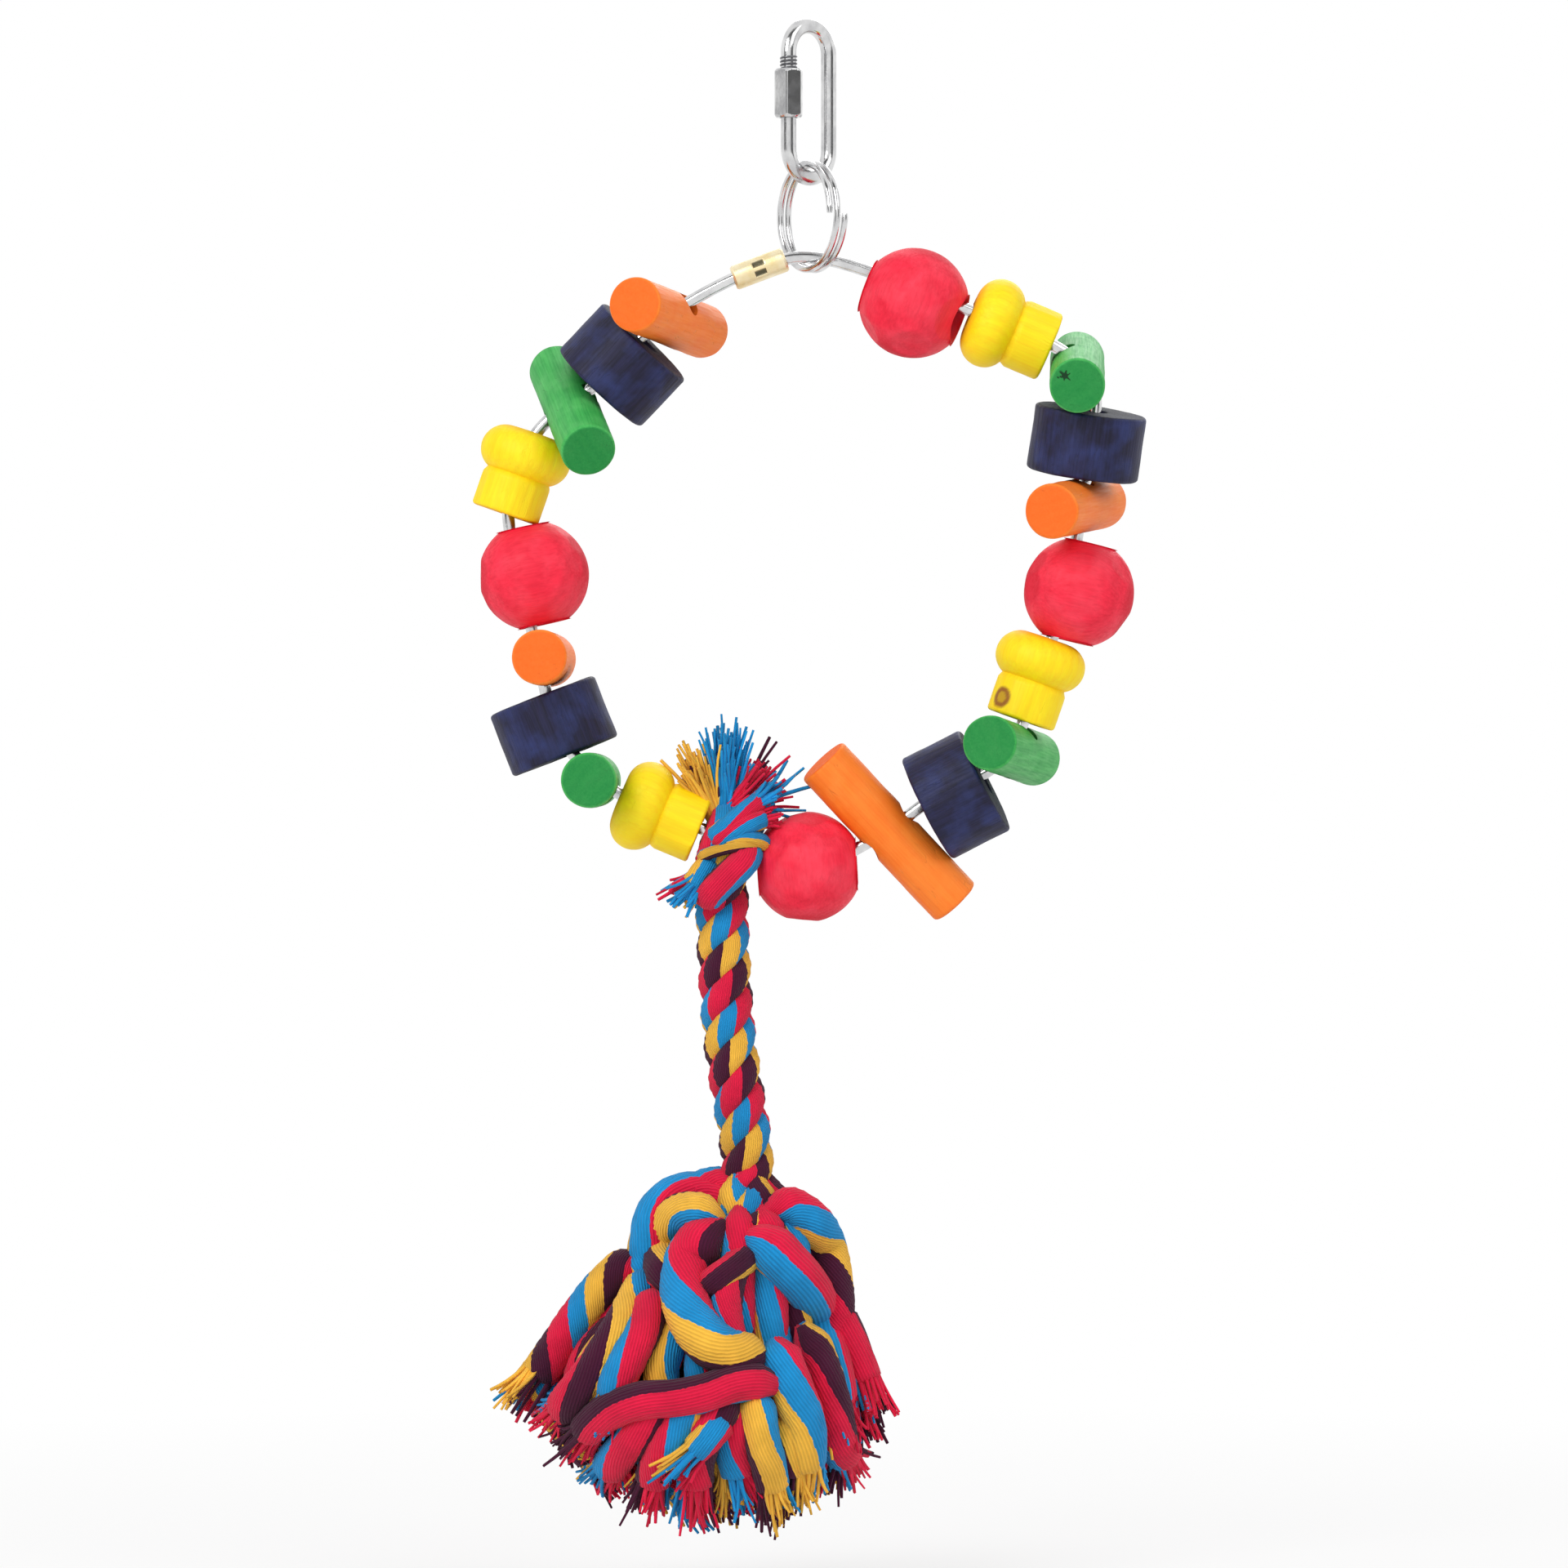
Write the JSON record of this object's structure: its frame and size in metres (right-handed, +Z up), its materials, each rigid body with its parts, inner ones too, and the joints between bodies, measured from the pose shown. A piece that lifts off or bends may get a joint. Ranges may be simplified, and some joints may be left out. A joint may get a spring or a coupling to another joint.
{
  "type": "parrot wheel toy",
  "caption": "Hanging parrot toy: a bent wire hoop strung with dyed wooden balls, spools, blocks and dowels, hung by a quick link and split ring, with a knotted rope tassel below.",
  "frame": {"origin": "the inside of the top of the quick link, where it rests on a cage bar", "axes": "+Z up, the hoop hangs in the XZ plane and its front faces -Y"},
  "size_m": [0.1527, 0.066, 0.3447],
  "materials": {
    "plated_steel": "bright nickel plate",
    "brass": "pale brass, crimped",
    "red_wood": "dyed, matte",
    "yellow_wood": "dyed, matte",
    "green_wood": "dyed, matte",
    "blue_wood": "dyed, matte",
    "orange_wood": "dyed, matte",
    "cotton_rope": "twisted cotton in several dyed colours"
  },
  "bodies": {
    "quick_link": {"quick_link": "plated_steel"},
    "link_nut": {"link_nut": "plated_steel"},
    "split_ring": {"split_ring": "plated_steel"},
    "hoop": {"hoop_wire": "plated_steel", "crimp_sleeve": "brass"},
    "red_ball_1": {"red_ball_1": "red_wood"},
    "yellow_spool_1": {"yellow_spool_1": "yellow_wood"},
    "green_dowel_1": {"green_dowel_1": "green_wood"},
    "blue_block_1": {"blue_block_1": "blue_wood"},
    "orange_dowel_1": {"orange_dowel_1": "orange_wood"},
    "red_ball_2": {"red_ball_2": "red_wood"},
    "yellow_spool_2": {"yellow_spool_2": "yellow_wood"},
    "green_dowel_2": {"green_dowel_2": "green_wood"},
    "blue_block_2": {"blue_block_2": "blue_wood"},
    "orange_dowel_2": {"orange_dowel_2": "orange_wood"},
    "red_ball_3": {"red_ball_3": "red_wood"},
    "yellow_spool_3": {"yellow_spool_3": "yellow_wood"},
    "green_dowel_3": {"green_dowel_3": "green_wood"},
    "blue_block_3": {"blue_block_3": "blue_wood"},
    "orange_dowel_3": {"orange_dowel_3": "orange_wood"},
    "red_ball_4": {"red_ball_4": "red_wood"},
    "yellow_spool_4": {"yellow_spool_4": "yellow_wood"},
    "green_dowel_4": {"green_dowel_4": "green_wood"},
    "blue_block_4": {"blue_block_4": "blue_wood"},
    "orange_dowel_4": {"orange_dowel_4": "orange_wood"},
    "rope": {"rope_hitch": "cotton_rope", "rope": "cotton_rope", "rope_tuft": "cotton_rope", "tassel_knot": "cotton_rope", "tassel_skirt": "cotton_rope"}
  },
  "joints": [
    {"name": "nut_travel", "type": "slide", "parent": "quick_link", "child": "link_nut", "axis": [0, 0, -1], "range_m": [0, 0.0065]},
    {"name": "ring_swing", "type": "hinge", "parent": "quick_link", "child": "split_ring", "pos_m": [0, 0, -0.03275], "axis": [0.7071, 0.7071, 0], "range_deg": [-75, 75]},
    {"name": "hoop_swing", "type": "hinge", "parent": "split_ring", "child": "hoop", "pos_m": [0, 0, -0.05074], "axis": [1, 0, 0], "range_deg": [-75, 75]},
    {"name": "red_ball_1_turn", "type": "hinge", "parent": "hoop", "child": "red_ball_1", "pos_m": [0.02383, 0, -0.06113], "axis": [0.9267, -0.1145, -0.358], "continuous": true},
    {"name": "yellow_spool_1_turn", "type": "hinge", "parent": "hoop", "child": "yellow_spool_1", "pos_m": [0.04566, 0, -0.06739], "axis": [0.921, 0.051, -0.3863], "continuous": true},
    {"name": "green_dowel_1_turn", "type": "hinge", "parent": "hoop", "child": "green_dowel_1", "pos_m": [0.0609, 0, -0.07671], "axis": [0.5945, 0.1361, -0.7925], "range_deg": [-17, 4]},
    {"name": "blue_block_1_turn", "type": "hinge", "parent": "hoop", "child": "blue_block_1", "pos_m": [0.06302, 0, -0.09278], "axis": [-0.1393, 0.1451, -0.9796], "continuous": true},
    {"name": "orange_dowel_1_turn", "type": "hinge", "parent": "hoop", "child": "orange_dowel_1", "pos_m": [0.06072, 0, -0.10724], "axis": [-0.1455, 0.1362, -0.9799], "range_deg": [-85, 85]},
    {"name": "red_ball_2_turn", "type": "hinge", "parent": "hoop", "child": "red_ball_2", "pos_m": [0.06128, 0, -0.12671], "axis": [-0.2389, 0, -0.971], "continuous": true},
    {"name": "yellow_spool_2_turn", "type": "hinge", "parent": "hoop", "child": "yellow_spool_2", "pos_m": [0.05114, 0, -0.14646], "axis": [-0.3247, 0.0051, -0.9458], "continuous": true},
    {"name": "green_dowel_2_turn", "type": "hinge", "parent": "hoop", "child": "green_dowel_2", "pos_m": [0.04613, 0, -0.16268], "axis": [-0.5707, 0.0872, -0.8165], "range_deg": [-17, 4]},
    {"name": "blue_block_2_turn", "type": "hinge", "parent": "hoop", "child": "blue_block_2", "pos_m": [0.03343, 0, -0.1726], "axis": [-0.8869, 0.0938, -0.4523], "continuous": true},
    {"name": "orange_dowel_2_turn", "type": "hinge", "parent": "hoop", "child": "orange_dowel_2", "pos_m": [0.01822, 0, -0.18101], "axis": [-0.7286, 0, -0.685], "range_deg": [-80, 8]},
    {"name": "red_ball_3_turn", "type": "hinge", "parent": "hoop", "child": "red_ball_3", "pos_m": [-0.0003, 0, -0.18899], "axis": [-0.9979, 0.0288, -0.0576], "continuous": true},
    {"name": "yellow_spool_3_turn", "type": "hinge", "parent": "hoop", "child": "yellow_spool_3", "pos_m": [-0.03377, 0, -0.17681], "axis": [-0.9229, 0, 0.3849], "continuous": true},
    {"name": "green_dowel_3_turn", "type": "hinge", "parent": "hoop", "child": "green_dowel_3", "pos_m": [-0.04929, 0, -0.16938], "axis": [-0.7596, 0, 0.6504], "range_deg": [-8, 8]},
    {"name": "blue_block_3_turn", "type": "hinge", "parent": "hoop", "child": "blue_block_3", "pos_m": [-0.05781, 0, -0.15707], "axis": [-0.3651, 0, 0.931], "continuous": true},
    {"name": "orange_dowel_3_turn", "type": "hinge", "parent": "hoop", "child": "orange_dowel_3", "pos_m": [-0.05997, 0, -0.14174], "axis": [-0.2305, 0, 0.9731], "range_deg": [-80, 80]},
    {"name": "red_ball_4_turn", "type": "hinge", "parent": "hoop", "child": "red_ball_4", "pos_m": [-0.06235, 0, -0.12298], "axis": [-0.2165, 0, 0.9763], "continuous": true},
    {"name": "yellow_spool_4_turn", "type": "hinge", "parent": "hoop", "child": "yellow_spool_4", "pos_m": [-0.06561, 0, -0.09979], "axis": [0.3282, -0.0051, 0.9446], "continuous": true},
    {"name": "green_dowel_4_turn", "type": "hinge", "parent": "hoop", "child": "green_dowel_4", "pos_m": [-0.05368, 0, -0.08532], "axis": [0.7961, -0.1362, 0.5896], "range_deg": [-80, 4]},
    {"name": "blue_block_4_turn", "type": "hinge", "parent": "hoop", "child": "blue_block_4", "pos_m": [-0.04231, 0, -0.07516], "axis": [0.6857, -0.1247, 0.7171], "continuous": true},
    {"name": "orange_dowel_4_turn", "type": "hinge", "parent": "hoop", "child": "orange_dowel_4", "pos_m": [-0.03164, 0, -0.06452], "axis": [0.7788, -0.231, 0.5831], "range_deg": [-50, 8]},
    {"name": "rope_swing", "type": "hinge", "parent": "hoop", "child": "rope", "pos_m": [-0.01861, 0, -0.18351], "axis": [-0.899, 0, 0.4379], "range_deg": [-60, 60]}
  ]
}
